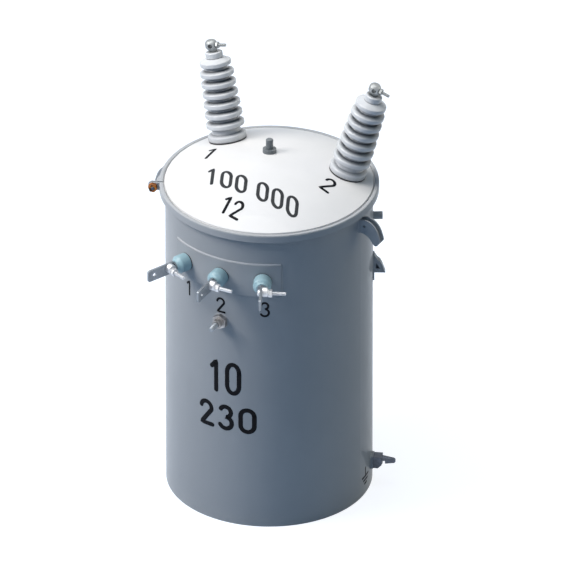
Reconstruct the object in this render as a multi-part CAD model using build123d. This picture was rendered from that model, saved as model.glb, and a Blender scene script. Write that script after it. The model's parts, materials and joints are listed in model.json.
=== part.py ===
from build123d import *
from math import asin, degrees, sqrt
import os

# All lengths are in millimetres and all angles in degrees.
# A place round the tank is given by its angle from the front, -Y, towards +X.
# The front carries the low-voltage terminals and the back faces the pole.

# Tank
TANK_DIAMETER = 380.0
TANK_WALL = 3.5
BOTTOM_THICKNESS = 6.0
BOTTOM_RECESS = 14.0
RIM_UNDERSIDE = 612.0
RIM_THICKNESS = 2.5
RIM_WIDTH = 7.0

# Cover and its gasket
GASKET_THICKNESS = 3.0
COVER_THICKNESS = 3.0
COVER_FLANGE_THICKNESS = 2.5
DOME_RADIUS = 495.0
DOME_EDGE_OVERHANG = 0.5
DOME_EDGE_RISE = 5.3
COVER_NECK_WIDTH = 1.5

# Clamp band that holds the cover down
BAND_REACH = 11.0
BAND_LIP_THICKNESS = 2.0
BAND_BEAD_HEIGHT = 4.5
BAND_BEAD_WIDTH = 8.0
BAND_CLEARANCE = 0.5
BAND_BEAD_ROUNDING = 2.5
BAND_JOINT_ANGLE = -60.2
BAND_GAP = 3.0
EAR_THICKNESS = 3.0
EAR_REACH = 20.0
EAR_ROOT = 3.0
EAR_ROUNDING = 7.0
STRAP_LENGTH = 25.5
STRAP_END = 9.0
STRAP_ROOT = 2.5
BAND_BOLT_DIAMETER = 8.0
BAND_BOLT_PLACE = 12.0
BAND_BOLT_TAIL = 3.0
BAND_NUT_WIDTH = 15.0
BAND_NUT_HEIGHT = 6.5
BAND_HEAD_ROOM = 18.5
BAND_BOLT_HOLE_CLEARANCE = 0.4

# High-voltage bushings, measured along each one's own axis from the dome
HV_ANGLE = 119.4
HV_INSET = 47.1
HV_GASKET_THICKNESS = 2.0
HV_GASKET_DIAMETER = 69.5
HV_BASE_DIAMETER = 70.5
HV_BASE_TOP = 10.9
HV_SHED_DIAMETERS = (71.0, 69.5, 68.0, 66.0, 64.5, 63.0, 58.0)
HV_FIRST_SHED = 29.6
HV_SHED_PITCH = 19.45
HV_SHED_RIM = 8.5
HV_SHED_RISE = 4.5
HV_SHED_ROUNDING = 2.6
HV_CORE_BOTTOM = 54.0
HV_CORE_TOP = 39.0
HV_NECK_DIAMETER = 28.0
HV_CAP_DIAMETER = 32.0
HV_CAP_BOTTOM = 157.2
HV_CAP_TOP = 168.2
HV_BORE = 13.0
HV_STUD = 12.0
HV_STUD_DEPTH = 60.0
HV_STUD_END_GAP = 2.0

# Connector on each high-voltage bushing
HV_CONNECTOR_DIAMETER = 22.0
HV_CONNECTOR_HEIGHT = 22.5
HV_CONNECTOR_FOOT = 13.0
HV_CONNECTOR_SHIFT = 3.0
HV_CONNECTOR_WAIST = 0.36
HV_CONNECTOR_ROUNDING = 8.0
HV_WIRE_HEIGHT = 12.0
HV_WIRE_HOLE = 8.0
HV_SCREW_DIAMETER = 6.0
HV_SCREW_CLEARANCE = 0.25
HV_SCREW_REACH = 28.0
HV_NUT_WIDTH = 11.0
HV_NUT_HEIGHT = 5.0

# Relief valve on the cover
VALVE_X = -18.5
VALVE_Y = 35.2
VALVE_FLANGE_DIAMETER = 25.0
VALVE_FLANGE_HEIGHT = 7.0
VALVE_STEM_DIAMETER = 13.5
VALVE_STEM_HEIGHT = 19.0

# Low-voltage panel and terminals, measured out from the tank wall
LV_PANEL_HALF_ANGLE = 34.0
LV_PANEL_BOTTOM = 491.0
LV_PANEL_TOP = 557.0
LV_PANEL_THICKNESS = 2.5
LV_MIDDLE_ANGLE = 1.0
LV_SPACING_ANGLE = 24.0
LV_HEIGHT = 524.0
LV_GASKET_DIAMETER = 33.0
LV_GASKET_OUT = 4.0
LV_BUSHING_DIAMETER = 33.5
LV_BUSHING_SHOULDER = 22.0
LV_BUSHING_NOSE = 30.0
LV_NOSE_DIAMETER = 21.0
LV_STUD = 12.0
LV_STUD_CLEARANCE = 0.25
LV_STUD_DEPTH = 20.0
LV_COLLAR_DIAMETER = 17.0
LV_COLLAR_END = 33.0
LV_PAD_START = 32.0
LV_PAD_END = 92.0
LV_PAD_WIDTH = 22.5
LV_PAD_THICKNESS = 4.0
LV_CLAMP_OUT = 44.0
LV_HOLE_OUT = 78.0
LV_HOLE_DIAMETER = 8.0
LV_BOLT_DIAMETER = 7.3
LV_BOLT_REACH = 45.0
LV_BOLT_CLEARANCE = 0.4
LV_HEAD_HEIGHT = 6.0
LV_NUT_WIDTH = 13.0
LV_NUT_HEIGHT = 6.5
LV_SADDLE_DIAMETER = 18.0
LV_SADDLE_RISE = 2.5
LV_SADDLE_ROUNDING = 3.0
LV_SADDLE_HEIGHT = 10.5

# Earth terminal on the front
FRONT_EARTH_HEIGHT = 428.0
FRONT_BOSS_DIAMETER = 25.0
FRONT_BOSS_OUT = 9.0
FRONT_BOLT_DIAMETER = 10.0
FRONT_BOLT_OUT = 40.0
FRONT_BOLT_SEAT = 6.0
FRONT_WASHER = 3.0
FRONT_NUT_WIDTH = 16.0
FRONT_NUT_HEIGHT = 8.0

# Ground connector low on the side
SIDE_GROUND_ANGLE = 110.0
SIDE_GROUND_HEIGHT = 48.0
SIDE_PAD_BORDER = 1.0
SIDE_PAD_OUT = 4.0
SIDE_CLAMP_UP = 9.0
SIDE_CLAMP_DOWN = 14.0
SIDE_CLAMP_CUT = 7.0
SIDE_CLAMP_WIDTH = 20.0
SIDE_CLAMP_OUT = 20.0
SIDE_BOLT_DIAMETER = 10.0
SIDE_BOLT_SEAT = 3.0
SIDE_BOLT_CLEARANCE = 0.5
SIDE_BOLT_OUT = 44.5
SIDE_JAW_ROOT = 17.0
SIDE_JAW_TIP = 10.0
SIDE_JAW_END = 42.5
SIDE_SLOT_START = 20.5
SIDE_SLOT_WIDTH = 5.5
SIDE_SLOT_ROOF = 1.5

# Lifting lugs, a pressed channel that hooks down, out from the wall and up from the floor
LUG_ANGLES = (-90.0, 90.0)
LUG_WIDTH = 15.5
LUG_SHEET = 3.0
LUG_OUTER = ((0, 597), (12, 600.5), (22, 598.5), (32, 591.5), (40, 577.5), (44.5, 561.5))
LUG_INNER = ((36, 551), (31.5, 553), (20.5, 566), (9, 571.5), (0, 572))
LUG_HOLE_OUT = 11.0
LUG_HOLE_HEIGHT = 587.0
LUG_HOLE_DIAMETER = 5.0
LUG_CORNER = 5.0

# Plug in the side wall
PLUG_ANGLE = 120.0
PLUG_HEIGHT = 548.0
PLUG_DIAMETER = 14.5
PLUG_OUT = 17.5

# Arrester bracket
BRACKET_ANGLE = 118.0
BRACKET_WIDTH = 18.0
BRACKET_SHEET = 2.5
BRACKET_BELOW = 17.0
BRACKET_ARM_HEIGHT = 434.0
BRACKET_ARM = ((0, 0), (22.5, 0), (16.5, 16.5), (13, 23.5), (8, 27.5), (4, 34), (0, 39))
BRACKET_ARM_WIDTH = 13.0
BRACKET_WINDOW = ((5.5, 8), (13, 8), (5.5, 21))
BRACKET_CORNER = 5.0

# Pole hangers at the back
HANGER_ANGLE = 180.0
HANGER_SPACING = 286.0
HANGER_LOWER = 180.0
HANGER_WIDTH = 100.0
HANGER_HEIGHT = 78.0
HANGER_REACH = 45.0
HANGER_SHEET = 6.0
HANGER_INSET = 14.0
HANGER_SLOT_WIDTH = 18.0
HANGER_SLOT_LENGTH = 32.0
HANGER_CORNER = 8.0

# Sizes that follow from the ones above
TANK_RADIUS = TANK_DIAMETER / 2
TANK_INSIDE = TANK_RADIUS - TANK_WALL
RIM_RADIUS = TANK_RADIUS + RIM_WIDTH
TANK_TOP = RIM_UNDERSIDE + RIM_THICKNESS
COVER_UNDERSIDE = TANK_TOP + GASKET_THICKNESS
FLANGE_TOP = COVER_UNDERSIDE + COVER_FLANGE_THICKNESS
DOME_EDGE = TANK_RADIUS + DOME_EDGE_OVERHANG
DOME_CENTRE = FLANGE_TOP + DOME_EDGE_RISE - sqrt(DOME_RADIUS**2 - DOME_EDGE**2)
BAND_RADIUS = TANK_RADIUS + BAND_REACH
BAND_TOP = FLANGE_TOP + BAND_BEAD_HEIGHT
BAND_BOTTOM = RIM_UNDERSIDE - BAND_LIP_THICKNESS
BAND_HEIGHT = BAND_TOP - BAND_BOTTOM
HV_OFFSET = TANK_RADIUS - HV_INSET
THROUGH = 2 * TANK_DIAMETER
STANDING = (Align.CENTER, Align.CENTER, Align.MIN)


def section(points):
    """Face in the XZ plane through radius and height pairs."""
    return Plane.XZ * make_face(Polyline(*points, close=True))


def turned(points):
    """Solid turned round the vertical axis from radius and height pairs."""
    return revolve(section(points), Axis.Z)


def rod(diameter, start, end):
    """Round bar along Z between two heights."""
    return Pos(0, 0, start) * Cylinder(diameter / 2, end - start, align=STANDING)


def hexagon(across_flats, start, end):
    """Six-sided nut or head along Z between two heights."""
    face = RegularPolygon(across_flats / 2, 6, major_radius=False)
    return Pos(0, 0, start) * extrude(face, end - start)


def on_wall(angle, height):
    """Frame on the tank wall: X points out, Y sideways and Z up."""
    return Rot(0, 0, angle - 90) * Pos(TANK_RADIUS, 0, height)


def out_of_wall(angle, height):
    """Frame on the tank wall with Z pointing out, X down and Y sideways."""
    return on_wall(angle, height) * Rot(0, 90, 0)


def on_dome(angle, offset):
    """Frame on the cover with Z square to the dome and X away from its middle."""
    lean = degrees(asin(offset / DOME_RADIUS))
    return Pos(0, 0, DOME_CENTRE) * Rot(0, 0, angle - 90) * Rot(0, lean, 0) * Pos(0, 0, DOME_RADIUS)


def dome_ball():
    """Ball whose skin is the outside of the dome, seen from a frame on the dome."""
    return Pos(0, 0, -DOME_RADIUS) * Sphere(DOME_RADIUS)


def wall_drum(out):
    """Drum round the tank, seen from a frame that points out of the wall."""
    drum = Cylinder(TANK_RADIUS + out, THROUGH)
    return Pos(0, 0, -TANK_RADIUS) * Rot(0, 90, 0) * drum


def tank_wall():
    return turned([
        (TANK_INSIDE, 0),
        (TANK_RADIUS, 0),
        (TANK_RADIUS, RIM_UNDERSIDE),
        (RIM_RADIUS, RIM_UNDERSIDE),
        (RIM_RADIUS, TANK_TOP),
        (TANK_INSIDE, TANK_TOP),
    ])


def tank_bottom():
    return rod(2 * TANK_INSIDE, BOTTOM_RECESS, BOTTOM_RECESS + BOTTOM_THICKNESS)


def cover_gasket():
    return turned([
        (TANK_INSIDE, TANK_TOP),
        (RIM_RADIUS, TANK_TOP),
        (RIM_RADIUS, COVER_UNDERSIDE),
        (TANK_INSIDE, COVER_UNDERSIDE),
    ])


def dome_height(radius, ball):
    """Height of a ball round the dome's centre at a distance from the axis."""
    return DOME_CENTRE + sqrt(ball**2 - radius**2)


def dome_curve(edge, ball):
    points = [(r, dome_height(r, ball)) for r in (0, edge / 2, edge)]
    return ThreePointArc(*points)


def cover():
    inner_ball = DOME_RADIUS - COVER_THICKNESS
    inner_edge = DOME_EDGE - COVER_THICKNESS
    outline = [
        (DOME_EDGE, dome_height(DOME_EDGE, DOME_RADIUS)),
        (DOME_EDGE + COVER_NECK_WIDTH, FLANGE_TOP),
        (RIM_RADIUS, FLANGE_TOP),
        (RIM_RADIUS, COVER_UNDERSIDE),
        (inner_edge, COVER_UNDERSIDE),
        (inner_edge, dome_height(inner_edge, inner_ball)),
    ]
    middle = Line((0, dome_height(0, inner_ball)), (0, dome_height(0, DOME_RADIUS)))
    edges = Curve() + dome_curve(DOME_EDGE, DOME_RADIUS) + Polyline(*outline)
    edges += [dome_curve(inner_edge, inner_ball), middle]
    return revolve(Plane.XZ * make_face(edges), Axis.Z)


def band_ring():
    inner = RIM_RADIUS + BAND_CLEARANCE
    bead_inner = BAND_RADIUS - BAND_BEAD_WIDTH
    ring = turned([
        (TANK_RADIUS + BAND_CLEARANCE, BAND_BOTTOM),
        (BAND_RADIUS, BAND_BOTTOM),
        (BAND_RADIUS, BAND_TOP),
        (bead_inner, BAND_TOP),
        (bead_inner, FLANGE_TOP),
        (inner, FLANGE_TOP),
        (inner, RIM_UNDERSIDE),
        (TANK_RADIUS + BAND_CLEARANCE, RIM_UNDERSIDE),
    ])
    return fillet(ring.edges().group_by(Axis.Z)[-1], BAND_BEAD_ROUNDING)


def band_frame():
    """Frame at the band's joint with X out, Y along the band and Z up."""
    middle = (BAND_TOP + BAND_BOTTOM) / 2
    return Rot(0, 0, BAND_JOINT_ANGLE - 90) * Pos(BAND_RADIUS, 0, middle)


def band_ear(side):
    """Plate that stands out of the band on one side of its joint."""
    length = EAR_REACH + EAR_ROOT
    plate = Box(length, EAR_THICKNESS, BAND_HEIGHT)
    corners = plate.edges().filter_by(Axis.Y).group_by(Axis.X)[-1]
    place = Pos(EAR_REACH - length / 2, side * (BAND_GAP + EAR_THICKNESS) / 2, 0)
    plate = place * fillet(corners, EAR_ROUNDING)
    hole = Cylinder(BAND_BOLT_DIAMETER / 2 + BAND_BOLT_HOLE_CLEARANCE, THROUGH)
    return plate - Pos(BAND_BOLT_PLACE, 0, 0) * Rot(90, 0, 0) * hole


def band_strap():
    """Strap that runs from the band out to the ear on the far side."""
    near = -BAND_GAP / 2 - EAR_THICKNESS
    far = near - STRAP_LENGTH
    back = sqrt(BAND_RADIUS**2 - far**2) - BAND_RADIUS - STRAP_ROOT
    outline = [(-STRAP_ROOT, near), (STRAP_END, near), (back + STRAP_ROOT, far), (back, far)]
    face = make_face(Polyline(*outline, close=True))
    strap = extrude(face, BAND_HEIGHT / 2 - BAND_BEAD_ROUNDING, both=True)
    head = rod(BAND_HEAD_ROOM, near - BAND_HEAD_ROOM / 2, near)
    return strap - Pos(BAND_BOLT_PLACE, 0, 0) * Rot(-90, 0, 0) * head


def clamp_band():
    frame = band_frame()
    gap = Box(2 * EAR_REACH, BAND_GAP, 2 * BAND_HEIGHT)
    room = Cylinder(BAND_RADIUS - EAR_ROOT, THROUGH)
    pieces = [frame * band_ear(-1), frame * band_ear(1), frame * band_strap()]
    return band_ring() - frame * gap + [piece - room for piece in pieces]


def band_bolt():
    half = BAND_GAP / 2 + EAR_THICKNESS
    bolt = rod(BAND_BOLT_DIAMETER, -half, half + BAND_NUT_HEIGHT + BAND_BOLT_TAIL)
    bolt += hexagon(BAND_NUT_WIDTH, -half - BAND_NUT_HEIGHT, -half)
    bolt += hexagon(BAND_NUT_WIDTH, half, half + BAND_NUT_HEIGHT)
    return band_frame() * Pos(BAND_BOLT_PLACE, 0, 0) * Rot(-90, 0, 0) * bolt


def core_radius(height):
    """Radius of the tapered core at a height."""
    span = HV_CAP_BOTTOM - HV_BASE_TOP
    share = (height - HV_BASE_TOP) / span
    return (HV_CORE_BOTTOM + (HV_CORE_TOP - HV_CORE_BOTTOM) * share) / 2


def shed_points(height, diameter):
    """Corners of one shed: a flat underside, an upright rim and a top that falls outwards."""
    low = height - HV_SHED_RIM / 2
    high = height + HV_SHED_RIM / 2
    root = high + HV_SHED_RISE
    return [
        (core_radius(low), low),
        (diameter / 2, low),
        (diameter / 2, high),
        (core_radius(root), root),
    ]


def rounded_profile(points, sharp, rounding):
    """Half section with every corner rounded, but for those on the axis and those named."""
    face = make_face(Polyline(*points, close=True))
    kept = [(0, height) for radius, height in points] + sharp
    corners = [
        corner for corner in face.vertices()
        if all(abs(corner.X - x) + abs(corner.Y - y) > 0.01 for x, y in kept)
    ]
    return fillet(corners, rounding)


def hv_bushing():
    foot = (HV_BASE_DIAMETER / 2, HV_GASKET_THICKNESS)
    shoulder = (HV_BASE_DIAMETER / 2, HV_BASE_TOP)
    root = HV_BASE_TOP + HV_SHED_RISE
    cap = HV_CAP_DIAMETER / 2
    points = [(0, HV_GASKET_THICKNESS), foot, shoulder, (core_radius(root), root)]
    for number, diameter in enumerate(HV_SHED_DIAMETERS):
        points += shed_points(HV_FIRST_SHED + number * HV_SHED_PITCH, diameter)
    neck = (HV_NECK_DIAMETER / 2, HV_CAP_BOTTOM)
    lip = (cap, HV_CAP_BOTTOM)
    points += [neck, lip, (cap, HV_CAP_TOP), (0, HV_CAP_TOP)]
    profile = rounded_profile(points, [foot, neck, lip], HV_SHED_ROUNDING)
    bore_end = HV_CAP_TOP - HV_STUD_DEPTH - HV_STUD_END_GAP
    return revolve(Plane.XZ * profile, Axis.Z) - rod(HV_BORE, bore_end, HV_CAP_TOP + HV_CAP_BOTTOM)


def hv_gasket():
    return rod(HV_GASKET_DIAMETER, -HV_GASKET_DIAMETER / 2, HV_GASKET_THICKNESS) - dome_ball()


def hv_connector():
    """Eye on a tapered foot, set off to the side away from its screw."""
    height = HV_CONNECTOR_HEIGHT
    eye_place = Pos(-HV_CONNECTOR_SHIFT, 0, HV_CONNECTOR_WAIST * height)
    foot = loft([Circle(HV_CONNECTOR_FOOT / 2), eye_place * Circle(HV_CONNECTOR_DIAMETER / 2)])
    eye = rod(HV_CONNECTOR_DIAMETER, 0, (1 - HV_CONNECTOR_WAIST) * height)
    eye = fillet(eye.edges().group_by(Axis.Z)[-1], HV_CONNECTOR_ROUNDING)
    body = foot + eye_place * eye
    middle = Pos(0, 0, HV_WIRE_HEIGHT)
    body -= middle * Rot(90, 0, 0) * Cylinder(HV_WIRE_HOLE / 2, THROUGH)
    body -= middle * Rot(0, 90, 0) * rod(HV_SCREW_DIAMETER + 2 * HV_SCREW_CLEARANCE, 0, THROUGH)
    return Pos(0, 0, HV_CAP_TOP) * (body + rod(HV_STUD, -HV_STUD_DEPTH, height / 10))


def hv_screw():
    seat = HV_CONNECTOR_DIAMETER / 2 - HV_CONNECTOR_SHIFT
    screw = rod(HV_SCREW_DIAMETER, HV_WIRE_HOLE / 2, HV_SCREW_REACH)
    screw += hexagon(HV_NUT_WIDTH, seat, seat + HV_NUT_HEIGHT)
    return Pos(0, 0, HV_CAP_TOP + HV_WIRE_HEIGHT) * Rot(0, 90, 0) * screw


def valve_base():
    return rod(VALVE_FLANGE_DIAMETER, -VALVE_FLANGE_HEIGHT, VALVE_FLANGE_HEIGHT) - dome_ball()


def relief_valve():
    top = VALVE_FLANGE_HEIGHT + VALVE_STEM_HEIGHT
    stem = rod(VALVE_STEM_DIAMETER, VALVE_FLANGE_HEIGHT, top)
    return chamfer(stem.edges().group_by(Axis.Z)[-1], VALVE_STEM_DIAMETER / 10)


def lv_panel():
    outer = TANK_RADIUS + LV_PANEL_THICKNESS
    height = LV_PANEL_TOP - LV_PANEL_BOTTOM
    face = section([
        (TANK_RADIUS, LV_PANEL_BOTTOM),
        (outer, LV_PANEL_BOTTOM),
        (outer, LV_PANEL_BOTTOM + height),
        (TANK_RADIUS, LV_PANEL_BOTTOM + height),
    ])
    start = LV_MIDDLE_ANGLE - 90 - LV_PANEL_HALF_ANGLE
    return revolve(Rot(0, 0, start) * face, Axis.Z, 2 * LV_PANEL_HALF_ANGLE)


def lv_gasket():
    return rod(LV_GASKET_DIAMETER, 0, LV_GASKET_OUT) - wall_drum(LV_PANEL_THICKNESS)


def lv_bushing():
    radius = LV_BUSHING_DIAMETER / 2
    nose = LV_NOSE_DIAMETER / 2
    body = turned([
        (0, LV_GASKET_OUT),
        (radius, LV_GASKET_OUT),
        (radius, LV_BUSHING_SHOULDER),
        (radius - 1.5, LV_BUSHING_SHOULDER + 2),
        (nose + 1.5, LV_BUSHING_NOSE - 3),
        (nose, LV_BUSHING_NOSE),
        (0, LV_BUSHING_NOSE),
    ])
    bore = LV_STUD + 2 * LV_STUD_CLEARANCE
    return body - rod(bore, LV_BUSHING_NOSE - LV_STUD_DEPTH, LV_BUSHING_NOSE + 1)


def lv_terminal():
    stud = rod(LV_STUD, LV_BUSHING_NOSE - LV_STUD_DEPTH, LV_COLLAR_END)
    stud += rod(LV_COLLAR_DIAMETER, LV_BUSHING_NOSE, LV_COLLAR_END)
    length = LV_PAD_END - LV_PAD_START
    pad = Pos(0, 0, LV_PAD_START + length / 2) * Box(LV_PAD_WIDTH, LV_PAD_THICKNESS, length)
    pad = fillet(pad.edges().filter_by(Axis.Y), 3)
    bolt_hole = LV_BOLT_DIAMETER + 2 * LV_BOLT_CLEARANCE
    for out, hole in ((LV_CLAMP_OUT, bolt_hole), (LV_HOLE_OUT, LV_HOLE_DIAMETER)):
        pad -= Pos(0, 0, out) * Rot(90, 0, 0) * Cylinder(hole / 2, THROUGH)
    return stud + pad


def clamp_frame():
    """Frame at a low-voltage clamp with Z along the bolt, from a frame out of the wall."""
    return Pos(0, 0, LV_CLAMP_OUT) * Rot(-90, 0, 0)


def lv_saddle():
    start = LV_PAD_THICKNESS / 2
    body = Pos(-LV_SADDLE_RISE, 0, 0) * rod(LV_SADDLE_DIAMETER, start, start + LV_SADDLE_HEIGHT)
    body = fillet(body.edges().group_by(Axis.Z)[-1], LV_SADDLE_ROUNDING)
    body -= rod(LV_BOLT_DIAMETER + 2 * LV_BOLT_CLEARANCE, 0, THROUGH)
    return clamp_frame() * body


def lv_bolt():
    head = -LV_PAD_THICKNESS / 2
    nut = LV_PAD_THICKNESS / 2 + LV_SADDLE_HEIGHT
    bolt = rod(LV_BOLT_DIAMETER, head, LV_BOLT_REACH)
    bolt += rod(LV_NUT_WIDTH, head - LV_HEAD_HEIGHT, head)
    bolt += hexagon(LV_NUT_WIDTH, nut, nut + LV_NUT_HEIGHT)
    return clamp_frame() * bolt


def front_boss():
    boss = hexagon(FRONT_BOSS_DIAMETER, 0, FRONT_BOSS_OUT) - wall_drum(0)
    return boss - rod(FRONT_BOLT_DIAMETER, FRONT_BOSS_OUT - FRONT_BOLT_SEAT, THROUGH)


def front_bolt():
    washer = FRONT_BOSS_OUT + FRONT_WASHER
    bolt = rod(FRONT_BOLT_DIAMETER, FRONT_BOSS_OUT - FRONT_BOLT_SEAT, FRONT_BOLT_OUT)
    bolt = chamfer(bolt.edges().group_by(Axis.Z)[-1], FRONT_BOLT_DIAMETER / 6)
    bolt += rod(2 * FRONT_BOLT_DIAMETER, FRONT_BOSS_OUT, washer)
    bolt += hexagon(FRONT_NUT_WIDTH, washer, washer + FRONT_NUT_HEIGHT)
    return bolt


def side_pad():
    height = SIDE_CLAMP_UP + SIDE_CLAMP_DOWN + 2 * SIDE_PAD_BORDER
    width = SIDE_CLAMP_WIDTH + 2 * SIDE_PAD_BORDER
    middle = (SIDE_CLAMP_DOWN - SIDE_CLAMP_UP) / 2
    pad = Pos(middle, 0, 0) * Box(height, width, 2 * SIDE_PAD_OUT)
    pad -= wall_drum(0)
    return pad - rod(SIDE_BOLT_DIAMETER, SIDE_PAD_OUT - SIDE_BOLT_SEAT, THROUGH)


def side_clamp():
    outline = [
        (-SIDE_CLAMP_UP, SIDE_PAD_OUT),
        (SIDE_CLAMP_DOWN, SIDE_PAD_OUT),
        (SIDE_CLAMP_DOWN, SIDE_CLAMP_OUT - SIDE_CLAMP_CUT),
        (SIDE_CLAMP_DOWN - SIDE_CLAMP_CUT, SIDE_CLAMP_OUT),
        (-SIDE_CLAMP_UP, SIDE_CLAMP_OUT),
    ]
    body = extrude(section(outline), SIDE_CLAMP_WIDTH / 2, both=True)
    return body - rod(SIDE_BOLT_DIAMETER + 2 * SIDE_BOLT_CLEARANCE, 0, THROUGH)


def side_bolt():
    """Bolt with a tapered jaw; the slot in the jaw, open downwards, takes the ground wire."""
    length = SIDE_JAW_END - SIDE_CLAMP_OUT
    cone = Cone(SIDE_JAW_ROOT / 2, SIDE_JAW_TIP / 2, length, align=STANDING)
    jaw = Pos(0, 0, SIDE_CLAMP_OUT) * cone
    slot = Box(SIDE_JAW_ROOT, SIDE_JAW_ROOT, SIDE_SLOT_WIDTH, align=(Align.MIN, Align.CENTER, Align.MIN))
    bolt = rod(SIDE_BOLT_DIAMETER, SIDE_PAD_OUT - SIDE_BOLT_SEAT, SIDE_BOLT_OUT)
    bolt = chamfer(bolt.edges().group_by(Axis.Z)[-1], SIDE_BOLT_DIAMETER / 5)
    return bolt + jaw - Pos(-SIDE_SLOT_ROOF, 0, SIDE_SLOT_START) * slot


def side_view(points):
    """Face in the frame's upright plane through out and up pairs."""
    return Plane.XZ * make_face(Polyline(*points, close=True))


def lug_side():
    """Side view of a lug, hooked down, with its small hole as the origin's height."""
    outer = [(out, height - LUG_HOLE_HEIGHT) for out, height in LUG_OUTER]
    inner = [(out, height - LUG_HOLE_HEIGHT) for out, height in LUG_INNER]
    edges = Curve() + Spline(*outer) + Line(outer[-1], inner[0])
    edges += [Spline(*inner), Line(inner[-1], outer[0])]
    return Plane.XZ * make_face(edges)


def lug_hollow():
    """Room between a lug's two cheeks, open on its outer side."""
    inner = [(out, height - LUG_HOLE_HEIGHT) for out, height in LUG_INNER]
    floor = [(out + LUG_SHEET, height + LUG_SHEET) for out, height in inner[:-1]]
    floor += [(-LUG_SHEET, inner[-1][1] + LUG_SHEET)]
    reach = 2 * LUG_OUTER[-1][0]
    corners = [(-LUG_SHEET, reach), (reach, reach), (reach, floor[0][1])]
    return side_view(corners + floor)


def lifting_lug():
    channel = extrude(lug_side(), LUG_WIDTH / 2, both=True)
    tips = channel.edges().filter_by(Axis.Y).group_by(Axis.Z)[:2]
    channel = fillet(tips[0] + tips[1], LUG_CORNER)
    hollow = extrude(lug_hollow(), LUG_WIDTH / 2 - LUG_SHEET, both=True)
    hole = Pos(LUG_HOLE_OUT, 0, 0) * Rot(90, 0, 0) * Cylinder(LUG_HOLE_DIAMETER / 2, THROUGH)
    return channel - hollow - hole


def side_plug():
    plug = rod(PLUG_DIAMETER, -PLUG_DIAMETER, PLUG_OUT) - wall_drum(0)
    return fillet(plug.edges().group_by(Axis.Z)[-1], PLUG_DIAMETER / 12)


def bracket_arm():
    """Hollow pressed arm with a sloping back; the window in its front cheek lets one see in."""
    face = side_view(BRACKET_ARM)
    arm = extrude(face, BRACKET_ARM_WIDTH / 2, both=True)
    hollow = extrude(offset(face, -BRACKET_SHEET), BRACKET_ARM_WIDTH / 2 - BRACKET_SHEET, both=True)
    return arm - hollow - extrude(side_view(BRACKET_WINDOW), BRACKET_ARM_WIDTH)


def arrester_bracket():
    top = BRACKET_ARM[-1][1]
    height = top + BRACKET_BELOW
    middle = top - height / 2
    strip = Pos(BRACKET_SHEET / 2, 0, middle) * Box(BRACKET_SHEET, BRACKET_WIDTH, height)
    strip = fillet(strip.edges().filter_by(Axis.X), BRACKET_CORNER)
    tank = Pos(-TANK_RADIUS, 0, 0) * Cylinder(TANK_RADIUS, THROUGH)
    foot = Box(BRACKET_SHEET, BRACKET_WIDTH, height - 2 * BRACKET_CORNER)
    foot = Pos(-BRACKET_SHEET / 2, 0, middle) * foot
    return strip + bracket_arm() + (foot - tank)


def hanger():
    side_out = HANGER_REACH - HANGER_SHEET
    plate = Box(HANGER_SHEET, HANGER_WIDTH, HANGER_HEIGHT)
    plate = fillet(plate.edges().filter_by(Axis.X), HANGER_CORNER)
    sides = [
        Pos(side_out / 2 - HANGER_INSET, side * (HANGER_WIDTH / 2 - HANGER_INSET), 0)
        * Box(side_out + 2 * HANGER_INSET, HANGER_SHEET, HANGER_HEIGHT)
        for side in (-1, 1)
    ]
    slot = extrude(SlotOverall(HANGER_SLOT_LENGTH, HANGER_SLOT_WIDTH), HANGER_REACH, both=True)
    body = Pos(HANGER_REACH - HANGER_SHEET / 2, 0, 0) * plate + sides
    body -= Pos(HANGER_REACH, 0, 0) * Rot(0, 90, 0) * slot
    return body - Pos(-TANK_RADIUS, 0, 0) * Cylinder(TANK_RADIUS, THROUGH)


def tank_nodes():
    return {
        "tank_wall": tank_wall(),
        "tank_bottom": tank_bottom(),
        "cover_gasket": cover_gasket(),
        "cover": cover(),
        "clamp_band": clamp_band(),
        "band_bolt": band_bolt(),
    }


def valve_nodes():
    offset = sqrt(VALVE_X**2 + VALVE_Y**2)
    frame = on_dome(180 - degrees(asin(VALVE_X / offset)), offset)
    return {"relief_valve_base": frame * valve_base(), "relief_valve": frame * relief_valve()}


def hv_nodes():
    nodes = {}
    for name, angle in (("left", -HV_ANGLE), ("right", HV_ANGLE)):
        frame = on_dome(angle, HV_OFFSET)
        turn = Rot(0, 0, 90 - angle)
        nodes[f"hv_gasket_{name}"] = frame * hv_gasket()
        nodes[f"hv_bushing_{name}"] = frame * hv_bushing()
        nodes[f"hv_connector_{name}"] = frame * turn * hv_connector()
        nodes[f"hv_screw_{name}"] = frame * turn * hv_screw()
    return nodes


def lv_nodes():
    nodes = {"lv_panel": lv_panel()}
    for number, step in enumerate((-1, 0, 1), 1):
        frame = out_of_wall(LV_MIDDLE_ANGLE + step * LV_SPACING_ANGLE, LV_HEIGHT)
        nodes[f"lv_gasket_{number}"] = frame * lv_gasket()
        nodes[f"lv_bushing_{number}"] = frame * lv_bushing()
        nodes[f"lv_terminal_{number}"] = frame * lv_terminal()
        nodes[f"lv_saddle_{number}"] = frame * lv_saddle()
        nodes[f"lv_bolt_{number}"] = frame * lv_bolt()
    return nodes


def earth_nodes():
    front = out_of_wall(LV_MIDDLE_ANGLE, FRONT_EARTH_HEIGHT)
    side = out_of_wall(SIDE_GROUND_ANGLE, SIDE_GROUND_HEIGHT)
    return {
        "front_earth_boss": front * front_boss(),
        "front_earth_bolt": front * front_bolt(),
        "side_ground_pad": side * side_pad(),
        "side_ground_clamp": side * side_clamp(),
        "side_ground_bolt": side * side_bolt(),
    }


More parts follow.
